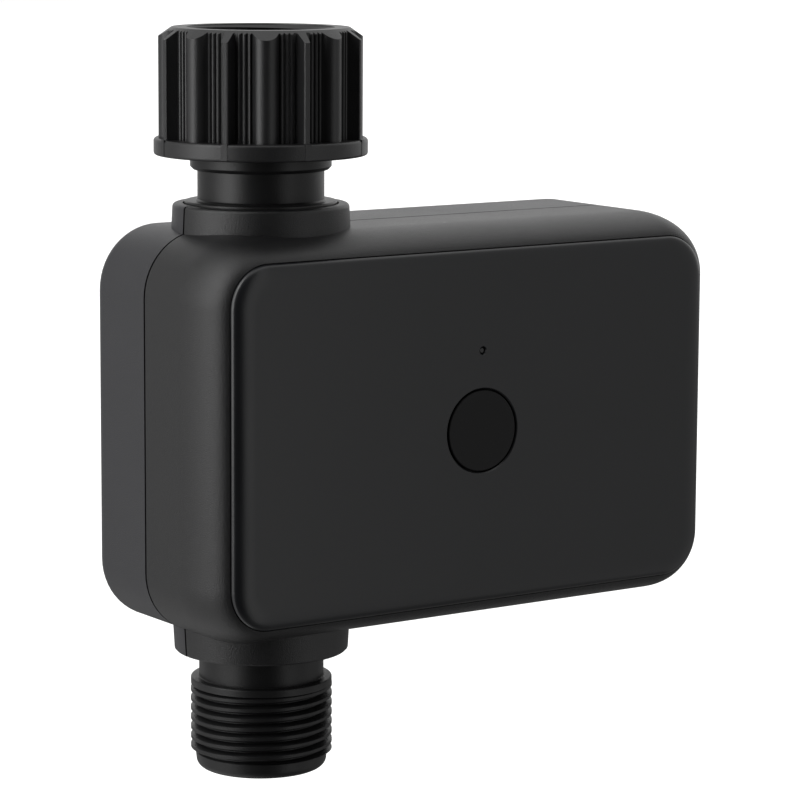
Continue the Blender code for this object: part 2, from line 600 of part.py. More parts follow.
def gear_train():
    compound = (MOTOR_Y, COMPOUND_Z)
    towards = math.atan2(COMPOUND_Z - BALL_Z, MOTOR_Y)
    output = make_object("output_gear", gear_wheel(OUTPUT_TEETH, (21.5, 23.5), (0, BALL_Z), towards),
                         NATURAL_PLASTIC, (0, 0, BALL_Z))
    square = box((19, 26), (-2.2, 2.2), (BALL_Z - 2.2, BALL_Z + 2.2))
    cut(output, "square_bore", square)

    gap_turn = towards + math.pi + math.pi / COMPOUND_SMALL_TEETH
    small = gear_wheel(COMPOUND_SMALL_TEETH, (21.5, 24.5), compound, gap_turn)
    cluster = make_object("compound_gear", small, NATURAL_PLASTIC, (0, *compound))
    down = math.radians(-90)
    add(cluster, "large_wheel", gear_wheel(COMPOUND_LARGE_TEETH, (23.9, 26.3), compound, down))
    cut(cluster, "bore", moved(cylinder(1.0, 19, 28, 16), (0, *compound), "X"))
    axle = moved(cylinder(0.9, 21.4, 26.7, 16), (0, *compound), "X")
    make_object("compound_axle", axle, STEEL)

    motor = (MOTOR_Y, MOTOR_Z)
    meshed = math.radians(90) + math.pi / MOTOR_TEETH
    pinion = make_object("motor_pinion", gear_wheel(MOTOR_TEETH, (24.0, 26.2), motor, meshed), BRASS,
                         (0, *motor))
    add(pinion, "shaft", moved(cylinder(1.0, 25, 29.7, 12), (0, *motor), "X"))


def gearbox():
    y, z = (-19.5, 11.8), (-86.0, -49.0)
    case = make_object("gearbox_case", box((20.4, 24.3), y, z), NATURAL_PLASTIC)
    cut(case, "inside", box((21.2, 30), inset(y, 0.8), inset(z, 0.8)))
    cut(case, "stem_hole", moved(cylinder(3.4, 18, 22, 24), (0, 0, BALL_Z), "X"))
    lid = make_object("gearbox_lid", box((24.6, 25.2), y, z), NATURAL_PLASTIC)
    hump_y, hump_z = (-19.5, -1.9), (-86.0, -60.8)
    add(lid, "hump", box((24.6, 27.4), hump_y, hump_z))
    cut(lid, "hump_inside", box((20, 26.9), inset(hump_y, 0.8), inset(hump_z, 0.8)))
    cut(lid, "shaft_hole", moved(cylinder(1.5, 24, 30, 16), (0, MOTOR_Y, MOTOR_Z), "X"))


def motor():
    y = (MOTOR_Y - 5, MOTOR_Y + 5)
    z = (MOTOR_Z - 6, MOTOR_Z + 6)
    head = make_object("motor_gearhead", box((27.7, 36.7), y, z), STEEL)
    cut(head, "shaft_hole", moved(cylinder(1.35, 26, 30.2, 16), (0, MOTOR_Y, MOTOR_Z), "X"))
    can = make_object("motor_can", moved(cylinder(6.0, 37.0, 52.0, 24), (0, MOTOR_Y, MOTOR_Z), "X"), STEEL)
    combine(can, "INTERSECT", "flats", box((30, 60), y, (z[0] - 3, z[1] + 3)))


# ---------------------------------------------------------------------------------------------
# Battery compartment


def battery_tray():
    tray = make_object("battery_tray", rounded_plate(TRAY_X, TRAY_Z, 2.0, TRAY_Y, 2), BLACK_PLASTIC)
    rim = rounded_plate(inset(TRAY_X, -1.3), inset(TRAY_Z, -1.3), 5.0, (12.5, TRAY_Y[1]), 4)
    add(tray, "rim", rim)
    well = box(inset(TRAY_X, TRAY_WALL), (TRAY_Y[0] + TRAY_WALL, 20), inset(TRAY_Z, TRAY_WALL))
    cut(tray, "well", well)
    cut(tray, "screw_holes", merged(*posts(TRAY_SCREWS, (-5, 3), 1.4)))


def cells_and_contacts():
    left, right = TRAY_X[0] + TRAY_WALL, TRAY_X[1] - TRAY_WALL
    nub_end = left + 1.0
    heights = [CELLS_Z + (i - 1.5) * CELL_PITCH for i in range(4)]
    for number, z in enumerate(heights, 1):
        body = [(0, 0), (2.75, 0), (2.75, 1.3), (6.6, 1.3), (CELL_R, 1.8), (CELL_R, CELL_LENGTH - 0.5),
                (6.6, CELL_LENGTH), (0, CELL_LENGTH)]
        cell = moved(turned(body, 16), (nub_end, CELL_Y, z), "X")
        spring_x = nub_end + CELL_LENGTH + GAP
        spring = contact_spring(spring_x + 0.3, CELL_Y, z)
        if number % 2 == 0:
            for shape in (cell, spring):
                flip = Matrix.Translation((left + right, 0, 0)) @ Matrix.Scale(-1, 4, (1, 0, 0))
                bmesh.ops.transform(shape, matrix=flip, verts=shape.verts)
        make_object(f"battery_cell_{number}", cell, CELL_JACKET)
        make_object(f"contact_spring_{number}", spring, STEEL)
    half = CELL_PITCH / 2 - 1.2
    spans = ((left, 0, 0), (left, 1, 2), (left, 3, 3), (right, 0, 1), (right, 2, 3))
    for number, (side, first, last) in enumerate(spans, 1):
        x = (side + GAP, side + 0.7) if side == left else (side - 0.7, side - GAP)
        plate = box(x, (CELL_Y - 5, CELL_Y + 5), (heights[first] - half, heights[last] + half))
        make_object(f"contact_plate_{number}", plate, STEEL)


def contact_spring(start, y, z):
    """A short conical spring of round wire, three turns, widest at its plate."""
    turns, steps, sides, wire = 3, 8, 4, 0.28
    length = 1.9
    bm = bmesh.new()
    loops = []
    for i in range(turns * steps + 1):
        share = i / (turns * steps)
        angle = math.tau * turns * share
        radius = 2.4 + 2.0 * share
        across = Vector((0, math.cos(angle), math.sin(angle)))
        middle = Vector((start + length * share, y, z)) + across * radius
        loop = []
        for k in range(sides):
            around = math.tau * k / sides
            out = across * math.cos(around) + Vector((1, 0, 0)) * math.sin(around)
            loop.append(bm.verts.new(middle + out * wire))
        loops.append(loop)
    for first, second in zip(loops, loops[1:]):
        edges = [bm.edges.get((a, b)) or bm.edges.new((a, b))
                 for loop in (first, second) for a, b in zip(loop, loop[1:] + loop[:1])]
        bmesh.ops.bridge_loops(bm, edges=edges)
    for loop in (loops[0], loops[-1]):
        bm.faces.new(loop)
    bmesh.ops.recalc_face_normals(bm, faces=bm.faces)
    return bm


def battery_door():
    hinge_point = (DOOR_SCREW_X, BACK_Y, BALL_Z)
    door = make_object("battery_door", door_opening(0.0, DOOR_Y), BLACK_PLASTIC, hinge_point)
    head = moved(cylinder(3.5, BACK_Y - 1.1, BACK_Y + 1, 24), (DOOR_SCREW_X, 0, BALL_Z), "Y")
    cut(door, "head_seat", head)
    cut(door, "screw_hole", moved(cylinder(1.8, 10, 20, 16), (DOOR_SCREW_X, 0, BALL_Z), "Y"))
    seat = BACK_Y - 1.1 + GAP
    profile = [(0, 12.4), (1.0, 12.4), (1.4, 12.9), (1.4, seat), (3.2, seat), (3.2, BACK_Y - 0.2),
               (3.0, BACK_Y), (0, BACK_Y)]
    screw = make_object("door_screw", moved(turned(profile, 24), (DOOR_SCREW_X, 0, BALL_Z), "Y"), STEEL,
                        hinge_point)
    slot = box((DOOR_SCREW_X - 2.6, DOOR_SCREW_X + 2.6), (BACK_Y - 0.5, BACK_Y + 1),
               (BALL_Z - 0.45, BALL_Z + 0.45))
    cut(screw, "coin_slot", slot)
    gasket = rounded_plate(inset(TRAY_X, -1.0), inset(TRAY_Z, -1.0), 4.7,
                           (14.3, DOOR_Y[0] - GAP), 4)
    gasket = make_object("door_gasket", gasket, RUBBER)
    cut(gasket, "middle", rounded_plate(inset(TRAY_X, 0.7), inset(TRAY_Z, 0.7), 3.0, (13, 17), 4))


def build():
    clear_scene()
    front_shell()
    back_shell()
    face_panel()
    split_line_seals()
    screws()
    button()
    status_light()
    circuit_board()
    swivel_nut()
    inlet_parts()
    valve_body()
    seats()
    ball_and_stem()
    gear_train()
    gearbox()
    motor()
    battery_tray()
    cells_and_contacts()
    battery_door()


build()
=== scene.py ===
"""Looks of the tap timer: fine outer skins, materials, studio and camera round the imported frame.

Shapes are drawn in millimetres and become metres in finish_piece. The pipe runs along Z, the
button faces -Y and the battery end is at +X, as in the frame.
"""

import json
import math

import bmesh
import bpy
from mathutils import Matrix, Vector


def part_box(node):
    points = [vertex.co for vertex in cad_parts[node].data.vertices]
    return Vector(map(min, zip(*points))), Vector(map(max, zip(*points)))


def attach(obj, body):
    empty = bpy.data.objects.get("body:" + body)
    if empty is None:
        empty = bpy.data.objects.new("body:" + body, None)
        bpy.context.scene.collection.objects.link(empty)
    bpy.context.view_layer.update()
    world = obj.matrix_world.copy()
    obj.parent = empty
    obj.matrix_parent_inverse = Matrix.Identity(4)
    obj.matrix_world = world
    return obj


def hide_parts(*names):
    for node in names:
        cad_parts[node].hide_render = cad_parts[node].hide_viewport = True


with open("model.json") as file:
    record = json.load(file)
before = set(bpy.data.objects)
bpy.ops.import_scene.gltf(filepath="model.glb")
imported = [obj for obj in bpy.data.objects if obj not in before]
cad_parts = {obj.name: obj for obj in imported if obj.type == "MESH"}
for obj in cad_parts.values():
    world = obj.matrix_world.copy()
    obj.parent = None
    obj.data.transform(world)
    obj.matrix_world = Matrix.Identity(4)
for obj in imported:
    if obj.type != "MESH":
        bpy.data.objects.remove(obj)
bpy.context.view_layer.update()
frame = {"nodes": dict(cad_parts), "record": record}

MM = 0.001


def span(node):
    """The lowest and highest corner of a CAD node, in millimetres."""
    low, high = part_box(node)
    return Vector(low) / MM, Vector(high) / MM


# Driving sizes, read from the frame where a node gives them.
FRONT_LOW, FRONT_HIGH = span("front_shell")
BACK_LOW, BACK_HIGH = span("back_shell")
PANEL_LOW, PANEL_HIGH = span("face_panel")
SEAL_LOW, SEAL_HIGH = span("shell_seal_right")
DOOR_LOW, DOOR_HIGH = span("battery_door")
NUT_LOW, NUT_HIGH = span("swivel_nut")
BUTTON_LOW, BUTTON_HIGH = span("button_cap")
PIPE_LOW, PIPE_HIGH = span("valve_body")
TUBE_LOW, TUBE_HIGH = span("inlet_tube")
RETAINER_LOW, RETAINER_HIGH = span("retainer_ring")

SEAL_INSET = 2.5
BODY_X = (FRONT_LOW.x, FRONT_HIGH.x)
BODY_Z = (SEAL_LOW.z - SEAL_INSET, SEAL_HIGH.z + SEAL_INSET)
BODY_CORNER = 12.0
WALL = 2.2
SPLIT_GAP = 0.5
FRONT_RIM = (FRONT_HIGH.y + BACK_LOW.y - SPLIT_GAP) / 2
BACK_RIM = FRONT_RIM + SPLIT_GAP
BACK_Y = BACK_HIGH.y
FRONT_FACE = -23.2
FRONT_FILLET = (5.0, 12.0)
BACK_FILLET = 3.5
COLLAR_TOP = FRONT_HIGH.z
COLLAR_BOTTOM = FRONT_LOW.z
COLLAR_BORE = 12.0
PANEL_MARGIN = PANEL_LOW.x - BODY_X[0]
PANEL_Y = PANEL_LOW.y
SEAM = 0.16
OUTSIDE = (-60, 120)
COLLAR_R = 16.4
RECESS_Y = -21.6
DOOR_SCREW_X = 20.6
BALL_Z = -61.0
BUTTON_X = (BUTTON_LOW.x + BUTTON_HIGH.x) / 2
BUTTON_Z = (BUTTON_LOW.z + BUTTON_HIGH.z) / 2
BUTTON_R = 7.65
LIGHT_Z = (span("light_pipe")[0].z + span("light_pipe")[1].z) / 2
NECK_R = 11.75
NECK_DISC_R = 14.15
THREAD_PITCH = 1.814
THREAD_CREST = 13.35
THREAD_ROOT = 12.1
THREAD_TOP = -109.4
THREAD_END = -122.3
OUTLET_END_EXTRA = 0.5


# ---------------------------------------------------------------------------------------------
# Mesh helpers


def box_mesh(x, y, z):
    """A box between the given low and high limits."""
    bm = bmesh.new()
    bmesh.ops.create_cube(bm, size=1.0)
    bmesh.ops.scale(bm, verts=bm.verts, vec=(x[1] - x[0], y[1] - y[0], z[1] - z[0]))
    middle = ((x[0] + x[1]) / 2, (y[0] + y[1]) / 2, (z[0] + z[1]) / 2)
    bmesh.ops.translate(bm, verts=bm.verts, vec=middle)
    return bm


def round_edges(bm, edges, radius, segments):
    """Rounds the edges with a true arc."""
    bmesh.ops.bevel(bm, geom=edges, offset=radius, segments=segments, profile=0.5,
                    affect="EDGES", clamp_overlap=True, material=-1)


def rounded_plate(x, z, corner, y, fillet=0.0, corner_steps=14, fillet_steps=10):
    """A rounded rectangle in XZ between two Y planes, with its edge at y[1] filleted."""
    low, high = min(y), max(y)
    bm = box_mesh(x, (low, high), z)
    upright = [e for e in bm.edges if abs(e.verts[0].co.y - e.verts[1].co.y) > 1e-6]
    round_edges(bm, upright, corner, corner_steps)
    if fillet:
        far = [e for e in bm.edges if all(abs(v.co.y - y[1]) < 1e-5 for v in e.verts)]
        round_edges(bm, far, fillet, fillet_steps)
    bmesh.ops.recalc_face_normals(bm, faces=bm.faces)
    return bm


def domed_plate(x, z, corner, y, width, drop, power=1.0, steps=16, corner_steps=18):
    """A rounded rectangle whose edge at y[1] falls away over width by drop.

    Power 1 is a quarter ellipse; a higher power keeps the rim steeper.
    """
    toward = 1 if y[1] > y[0] else -1
    bm = rounded_plate(x, z, corner, (y[0], y[1] - toward * drop), corner_steps=corner_steps)
    face = max(bm.faces, key=lambda f: toward * f.calc_center_median().y)
    done = 0.0
    for i in range(1, steps + 1):
        angle = math.radians(90 * i / steps)
        reach = width * (1 - math.cos(angle)) ** power
        bmesh.ops.inset_region(bm, faces=[face], thickness=reach - done, use_even_offset=True)
        for vert in face.verts:
            vert.co.y = y[1] - toward * drop * (1 - math.sin(angle))
        done = reach
    bmesh.ops.recalc_face_normals(bm, faces=bm.faces)
    return bm


def turned(profile, steps=96, closed=False):
    """Spins (radius, height) points about Z; an open profile starts and ends on the axis."""
    bm = bmesh.new()
    verts = [bm.verts.new((r, 0.0, z)) for r, z in profile]
    edges = [bm.edges.new(pair) for pair in zip(verts, verts[1:])]
    if closed:
        edges.append(bm.edges.new((verts[-1], verts[0])))
    bmesh.ops.spin(bm, geom=verts + edges, cent=(0, 0, 0), axis=(0, 0, 1), angle=math.tau,
                   steps=steps, use_merge=True)
    bmesh.ops.remove_doubles(bm, verts=bm.verts, dist=1e-4)
    bmesh.ops.recalc_face_normals(bm, faces=bm.faces)
    return bm


def arc(centre, radius, start, end, steps=6):
    """Points of an arc in a turned profile, angles in degrees."""
    points = []
    for i in range(steps + 1):
        angle = math.radians(start + (end - start) * i / steps)
        points.append((centre[0] + radius * math.cos(angle), centre[1] + radius * math.sin(angle)))
    return points


def moved(bm, to=(0, 0, 0), axis="Z"):
    """Lays a turned shape along an axis and moves it."""
    turns = {"Z": Matrix(), "X": Matrix.Rotation(math.radians(90), 4, "Y"),
             "Y": Matrix.Rotation(math.radians(-90), 4, "X")}
    bmesh.ops.transform(bm, matrix=Matrix.Translation(to) @ turns[axis], verts=bm.verts)
    return bm


def prism(outline, low, high):
    """An outline in XY, extruded between two heights."""
    bm = bmesh.new()
    face = bm.faces.new([bm.verts.new((x, y, low)) for x, y in outline])
    grown = bmesh.ops.extrude_face_region(bm, geom=[face])["geom"]
    top = [item for item in grown if isinstance(item, bmesh.types.BMVert)]
    bmesh.ops.translate(bm, verts=top, vec=(0, 0, high - low))
    bmesh.ops.recalc_face_normals(bm, faces=bm.faces)
    return bm


def joined(*shapes):
    """Several shapes as one bmesh."""
    bm = bmesh.new()
    for shape in shapes:
        mesh = bpy.data.meshes.new("scratch")
        shape.to_mesh(mesh)
        shape.free()
        bm.from_mesh(mesh)
        bpy.data.meshes.remove(mesh)
    return bm


def combined(base, *steps):
    """The base shape after a chain of (operation, shape) Booleans, as one bmesh."""
    def scratch(bm):
        mesh = bpy.data.meshes.new("scratch")
        bm.to_mesh(mesh)
        bm.free()
        obj = bpy.data.objects.new("scratch", mesh)
        bpy.context.collection.objects.link(obj)
        return obj

    target = scratch(base)
    tools = []
    for operation, shape in steps:
        tool = scratch(shape)
        modifier = target.modifiers.new(operation, "BOOLEAN")
        modifier.operation = operation
        modifier.object = tool
        tools.append(tool)
    graph = bpy.context.evaluated_depsgraph_get()
    result = bmesh.new()
    result.from_mesh(target.evaluated_get(graph).to_mesh())
    for obj in [target, *tools]:
        mesh = obj.data
        bpy.data.objects.remove(obj, do_unlink=True)
        bpy.data.meshes.remove(mesh)
    return result


def finish_piece(name, bm, mat, body, stands_for=(), soften=0.0, sharp=35):
    """Makes the piece an object in metres, shades it, gives it its material and ties it to its
    body.
    """
    bmesh.ops.scale(bm, verts=bm.verts, vec=(MM, MM, MM))
    mesh = bpy.data.meshes.new(name)
    bm.to_mesh(mesh)
    bm.free()
    mesh.shade_smooth()
    mesh.set_sharp_from_angle(angle=math.radians(sharp))
    obj = bpy.data.objects.new(name, mesh)
    bpy.context.collection.objects.link(obj)
    obj.data.materials.append(mat)
    if soften:
        bevel = obj.modifiers.new("soft_edges", "BEVEL")
        bevel.width = soften * MM
        bevel.segments = 2
        bevel.limit_method = "ANGLE"
        bevel.angle_limit = math.radians(sharp)
        bevel.use_clamp_overlap = True
    weighted = obj.modifiers.new("flat_faces_lead", "WEIGHTED_NORMAL")
    weighted.keep_sharp = True
    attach(obj, body)
    if stands_for:
        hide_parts(*stands_for)
    return obj


# ---------------------------------------------------------------------------------------------
# Materials


GLOSS_SWING = 0.035
SPECK_SHARE = 0.016


def linear(hex_colour):
    """An sRGB hex colour as a linear RGBA tuple."""
    channels = [int(hex_colour[i:i + 2], 16) / 255 for i in (0, 2, 4)]
    return (*[c / 12.92 if c <= 0.04045 else ((c + 0.055) / 1.055) ** 2.4 for c in channels], 1.0)


def per_mm(size):
    """Texture scale for a pattern whose features are that many millimetres apart."""
    return 1.0 / (size * MM)


def add_node(tree, kind, settings=None, **inputs):
    """Adds a node; an input is a value or another node's output socket."""
    node = tree.nodes.new(kind)
    for key, value in (settings or {}).items():
        setattr(node, key, value)
    for key, value in inputs.items():
        numbered = key[0] == "i" and key[1:].isdigit()
        socket = node.inputs[int(key[1:]) if numbered else key]
        if isinstance(value, bpy.types.NodeSocket):
            tree.links.new(value, socket)
        else:
            socket.default_value = value
    return node


def blank_material(name):
    mat = bpy.data.materials.new(name)
    mat.use_nodes = True
    tree = mat.node_tree
    shader = tree.nodes["Principled BSDF"]
    coords = add_node(tree, "ShaderNodeTexCoord").outputs["Object"]
    return mat, tree, shader, coords


def moulded(name, dark, light, rough, grain_mm, grain_depth, cloud_mm=14.0, dust=0.0, ior=1.5,
            shine=0.5):
    """Injection-moulded plastic: faint clouding of colour and gloss, tool grain, a little dust.

    Dust is the distance in millimetres between specks; shine is the specular level.
    """
    mat, tree, shader, coords = blank_material(name)
    cloud = add_node(tree, "ShaderNodeTexNoise", Vector=coords, Scale=per_mm(cloud_mm), Detail=3.0)
    shade = add_node(tree, "ShaderNodeMix", {"data_type": "RGBA"}, i0=cloud.outputs["Fac"],
                     i6=linear(dark), i7=linear(light))
    colour = shade.outputs[2]
    gloss = add_node(tree, "ShaderNodeMapRange", Value=cloud.outputs["Fac"],
                     **{"To Min": rough - GLOSS_SWING, "To Max": rough + GLOSS_SWING})
    grain = add_node(tree, "ShaderNodeTexNoise", Vector=coords, Scale=per_mm(grain_mm), Detail=2.0,
                     Roughness=0.6)
    bump = add_node(tree, "ShaderNodeBump", Height=grain.outputs["Fac"], Distance=grain_depth * MM,
                    Strength=1.0)
    if dust:
        specks = add_node(tree, "ShaderNodeTexVoronoi", Vector=coords, Scale=per_mm(dust),
                          Randomness=1.0)
        spot = add_node(tree, "ShaderNodeMath", {"operation": "LESS_THAN"},
                        i0=specks.outputs["Distance"], i1=SPECK_SHARE)
        dusted = add_node(tree, "ShaderNodeMix", {"data_type": "RGBA"}, i0=spot.outputs[0],
                          i6=colour, i7=linear("8a8a8a"))
        colour = dusted.outputs[2]
    tree.links.new(colour, shader.inputs["Base Color"])
    tree.links.new(gloss.outputs["Result"], shader.inputs["Roughness"])
    tree.links.new(bump.outputs["Normal"], shader.inputs["Normal"])
    shader.inputs["IOR"].default_value = ior
    shader.inputs["Specular IOR Level"].default_value = shine
    return mat


def metal(name, dark, light, rough, grain_mm, stretch=(1, 1, 1), depth=0.004):
    """Bare or plated metal with a faint directional grain."""
    mat, tree, shader, coords = blank_material(name)
    lay = add_node(tree, "ShaderNodeMapping", Vector=coords, Scale=stretch)
    grain = add_node(tree, "ShaderNodeTexNoise", Vector=lay.outputs["Vector"],
                     Scale=per_mm(grain_mm), Detail=3.0)
    shade = add_node(tree, "ShaderNodeMix", {"data_type": "RGBA"}, i0=grain.outputs["Fac"],
                     i6=linear(dark), i7=linear(light))
    gloss = add_node(tree, "ShaderNodeMapRange", Value=grain.outputs["Fac"],
                     **{"To Min": rough - 0.06, "To Max": rough + 0.06})
    bump = add_node(tree, "ShaderNodeBump", Height=grain.outputs["Fac"], Distance=depth * MM,
                    Strength=0.6)
    tree.links.new(shade.outputs[2], shader.inputs["Base Color"])
    tree.links.new(gloss.outputs["Result"], shader.inputs["Roughness"])
    tree.links.new(bump.outputs["Normal"], shader.inputs["Normal"])
    shader.inputs["Metallic"].default_value = 1.0
    return mat


def spark_eroded_abs():
    # Black ABS from a spark-eroded tool: a fine sandy grain that breaks up highlights.
    return moulded("spark_eroded_abs", "0e0e0f", "121213", 0.40, 0.2, 0.075, dust=16.0)


def spark_eroded_abs_painted_sheen():
    # The back shell uses the same ABS with painted sheen: its colour is a touch paler than the
    # front's, standing in for the brighter light its slightly tilted sides catch.
    return moulded("spark_eroded_abs_painted_sheen", "232326", "28282b", 0.42, 0.26, 0.08, dust=16.0)


def satin_panel_abs():
    # The face panel comes from a polished tool that was lightly blasted: smoother and satin.
    return moulded("satin_panel_abs", "0f1012", "131417", 0.32, 0.3, 0.012, cloud_mm=22.0,
                   dust=26.0)


def matt_button_abs():
    # The button is blasted duller than the panel round it.
    return moulded("matt_button_abs", "0c0c0d", "0f0f10", 0.50, 0.3, 0.01, shine=0.22)


def glass_filled_nylon():
    # Glass fibres near the skin make the nylon nut a little streaky and satin.
    return moulded("glass_filled_nylon", "131314", "19191a", 0.40, 0.22, 0.045, cloud_mm=4.0)


def black_acetal():
    # Acetal pipe parts are smoother and glossier than the housing.
    return moulded("black_acetal", "121212", "171718", 0.38, 0.24, 0.03, cloud_mm=8.0, shine=0.36)


def nitrile_rubber():
    # Black nitrile, dull from moulding talc.
    return moulded("nitrile_rubber", "111111", "181818", 0.62, 0.25, 0.010)


def natural_acetal():
    # Gears, gearbox and inlet filter stay unpigmented: creamy white, satin.
    return moulded("natural_acetal", "d3cfc4", "dcd9cf", 0.42, 0.5, 0.005, cloud_mm=5.0)


def pressed_ptfe():
    # Pressed and skived PTFE seats: waxy white.
    return moulded("pressed_ptfe", "e6e6e2", "efefec", 0.35, 0.4, 0.004)


def moulded_switch_nylon():
    # Matt black nylon of the tact switch.
    return moulded("moulded_switch_nylon", "161616", "1d1d1d", 0.5, 0.3, 0.006)


def smoked_polycarbonate():
    # Smoked light guide: it looks nearly black while the light is off.
    mat = moulded("smoked_polycarbonate", "1c1d1d", "222323", 0.15, 0.8, 0.001, ior=1.58)
    mat.node_tree.nodes["Principled BSDF"].inputs["Transmission Weight"].default_value = 0.3
    return mat


def printed_cell_jacket():
    # Shrunk film round the cells, dark and glossy, without print.
    return moulded("printed_cell_jacket", "30363c", "3a4148", 0.3, 0.8, 0.002, cloud_mm=9.0)


def solder_mask_board():
    # Green solder mask over copper: the tracks show as faint lighter squares.
    return moulded("solder_mask_board", "0f3a20", "175231", 0.32, 1.1, 0.02, cloud_mm=1.6)


def turned_brass():
    # Brass from a lathe: fine rings, warm and bright.
    return metal("turned_brass", "b9954f", "cfae68", 0.28, 0.25, stretch=(6, 1, 1))


def nickel_plated_steel():
    # Bright nickel over drawn or stamped steel.
    return metal("nickel_plated_steel", "9a9a98", "b4b4b2", 0.27, 0.4)


def pale_floor():
    """Seamless paper, pale and matt."""
    mat, tree, shader, coords = blank_material("seamless_paper")
    fibre = add_node(tree, "ShaderNodeTexNoise", Vector=coords, Scale=per_mm(3.0), Detail=4.0)
    shade = add_node(tree, "ShaderNodeMix", {"data_type": "RGBA"}, i0=fibre.outputs["Fac"],
                     i6=linear("f7f7f6"), i7=linear("fbfbfa"))
    tree.links.new(shade.outputs[2], shader.inputs["Base Color"])
    shader.inputs["Roughness"].default_value = 0.9
    shader.inputs["Emission Color"].default_value = (1.0, 1.0, 1.0, 1.0)
    shader.inputs["Emission Strength"].default_value = 0.35
    return mat


SLOT_MATERIALS = {
    "housing": spark_eroded_abs(),
    "panel": satin_panel_abs(),
    "button": matt_button_abs(),
    "nut": glass_filled_nylon(),
    "pipe": black_acetal(),
    "rubber": nitrile_rubber(),
    "natural_plastic": natural_acetal(),
    "seat_plastic": pressed_ptfe(),
    "brass": turned_brass(),
    "steel": nickel_plated_steel(),
    "board": solder_mask_board(),
    "switch_plastic": moulded_switch_nylon(),
    "light_guide": smoked_polycarbonate(),
    "cell_jacket": printed_cell_jacket(),
}


def paint_frame():
    """Every CAD node that stays gets the material of its slot."""
    slots = {part["node"]: part["material_slot"] for part in frame["record"]["subparts"]}
    for name, obj in frame["nodes"].items():
        mat = SLOT_MATERIALS[slots[name]]
        if not obj.material_slots:
            obj.data.materials.append(mat)
        for holder in obj.material_slots:
            holder.material = mat


# ---------------------------------------------------------------------------------------------
# Housing


def inset(limits, by):
    """Low and high limits moved towards each other."""
    return (limits[0] + by, limits[1] - by)


def housing_block(y_open, y_face, fillet, by=0.0):
    """The housing's block, or its hollow when by is the wall."""
    return rounded_plate(inset(BODY_X, by), inset(BODY_Z, by), BODY_CORNER - by, (y_open, y_face),
                         fillet=fillet)


def collars():
    """Drafted rings round both necks; the inlet's has a rounded brow, the outlet's a soft foot."""
    brow = 0.7
    top = [(0, BODY_Z[1] - 1.5), (COLLAR_R + 0.25, BODY_Z[1] - 1.5), (COLLAR_R, COLLAR_TOP - brow)]
    top += arc((COLLAR_R - brow, COLLAR_TOP - brow), brow, 0, 90)[1:]
    top.append((0, COLLAR_TOP))
    low = [(0, COLLAR_BOTTOM), (COLLAR_R - 0.35, COLLAR_BOTTOM),
           (COLLAR_R - 0.05, COLLAR_BOTTOM + 0.3), (COLLAR_R + 0.3, BODY_Z[0] + 1.5),
           (0, BODY_Z[0] + 1.5)]
    return joined(turned(top), turned(low))


def pipe_holes():
    """Bores for both necks; the inlet's ends in a shallow seat for the neck's disc."""
    lip = NECK_DISC_R + 0.3
    floor = COLLAR_TOP - 0.9
    inlet = [(0, -30), (COLLAR_BORE, -30), (COLLAR_BORE, floor), (lip - 0.25, floor),
             (lip, floor + 0.2), (lip, COLLAR_TOP + 1), (0, COLLAR_TOP + 1)]
    outlet = [(0, -106), (COLLAR_BORE, -106), (COLLAR_BORE, -90), (0, -90)]
    return joined(turned(inlet), turned(outlet))


def front_shell():
    """Front half of the housing: collar halves, the panel's recess and the button's hole."""
    seat = PANEL_MARGIN - SEAM
    bm = combined(
        domed_plate(BODY_X, BODY_Z, BODY_CORNER, (FRONT_RIM + 6, FRONT_FACE), *FRONT_FILLET,
                    steps=20),
        ("UNION", collars()),
        ("DIFFERENCE", box_mesh(OUTSIDE, (FRONT_RIM, 60), (-130, 10))),
        ("DIFFERENCE", rounded_plate(inset(BODY_X, seat), inset(BODY_Z, seat), BODY_CORNER - seat,
                                     (-30, RECESS_Y), corner_steps=15)),
        ("DIFFERENCE", housing_block(FRONT_RIM + 1, -20.0, 6.0, WALL)),
        ("DIFFERENCE", pipe_holes()),
        ("DIFFERENCE", moved(turned([(0, -30), (4.5, -30), (4.5, -18), (0, -18)], 32),
                             (BUTTON_X, 0, BUTTON_Z), "Y")),
    )
    return finish_piece("front_shell_skin", bm, SLOT_MATERIALS["housing"], "housing",
                        ["front_shell"], soften=0.09)


def door_outline(grow, y):
    """The battery door's plate with its screw tab, as one prism."""
    plate_x = 24.9 - grow
    tab_half = 8.5 + grow
    plate = rounded_plate((plate_x, DOOR_HIGH.x + grow), (DOOR_LOW.z - grow, DOOR_HIGH.z + grow),
                          4.7 + grow, y, corner_steps=8)
    tab = rounded_plate((DOOR_LOW.x - grow, plate_x + 6), (BALL_Z - tab_half, BALL_Z + tab_half),
                        3.0 + grow, y, corner_steps=8)
    return combined(plate, ("UNION", tab))


def screw_places():
    """X and Z of the four shell screws, from the frame."""
    places = []
    for number in range(1, 5):
        low, high = span(f"shell_screw_{number}")
        places.append(((low.x + high.x) / 2, (low.z + high.z) / 2))
    return places


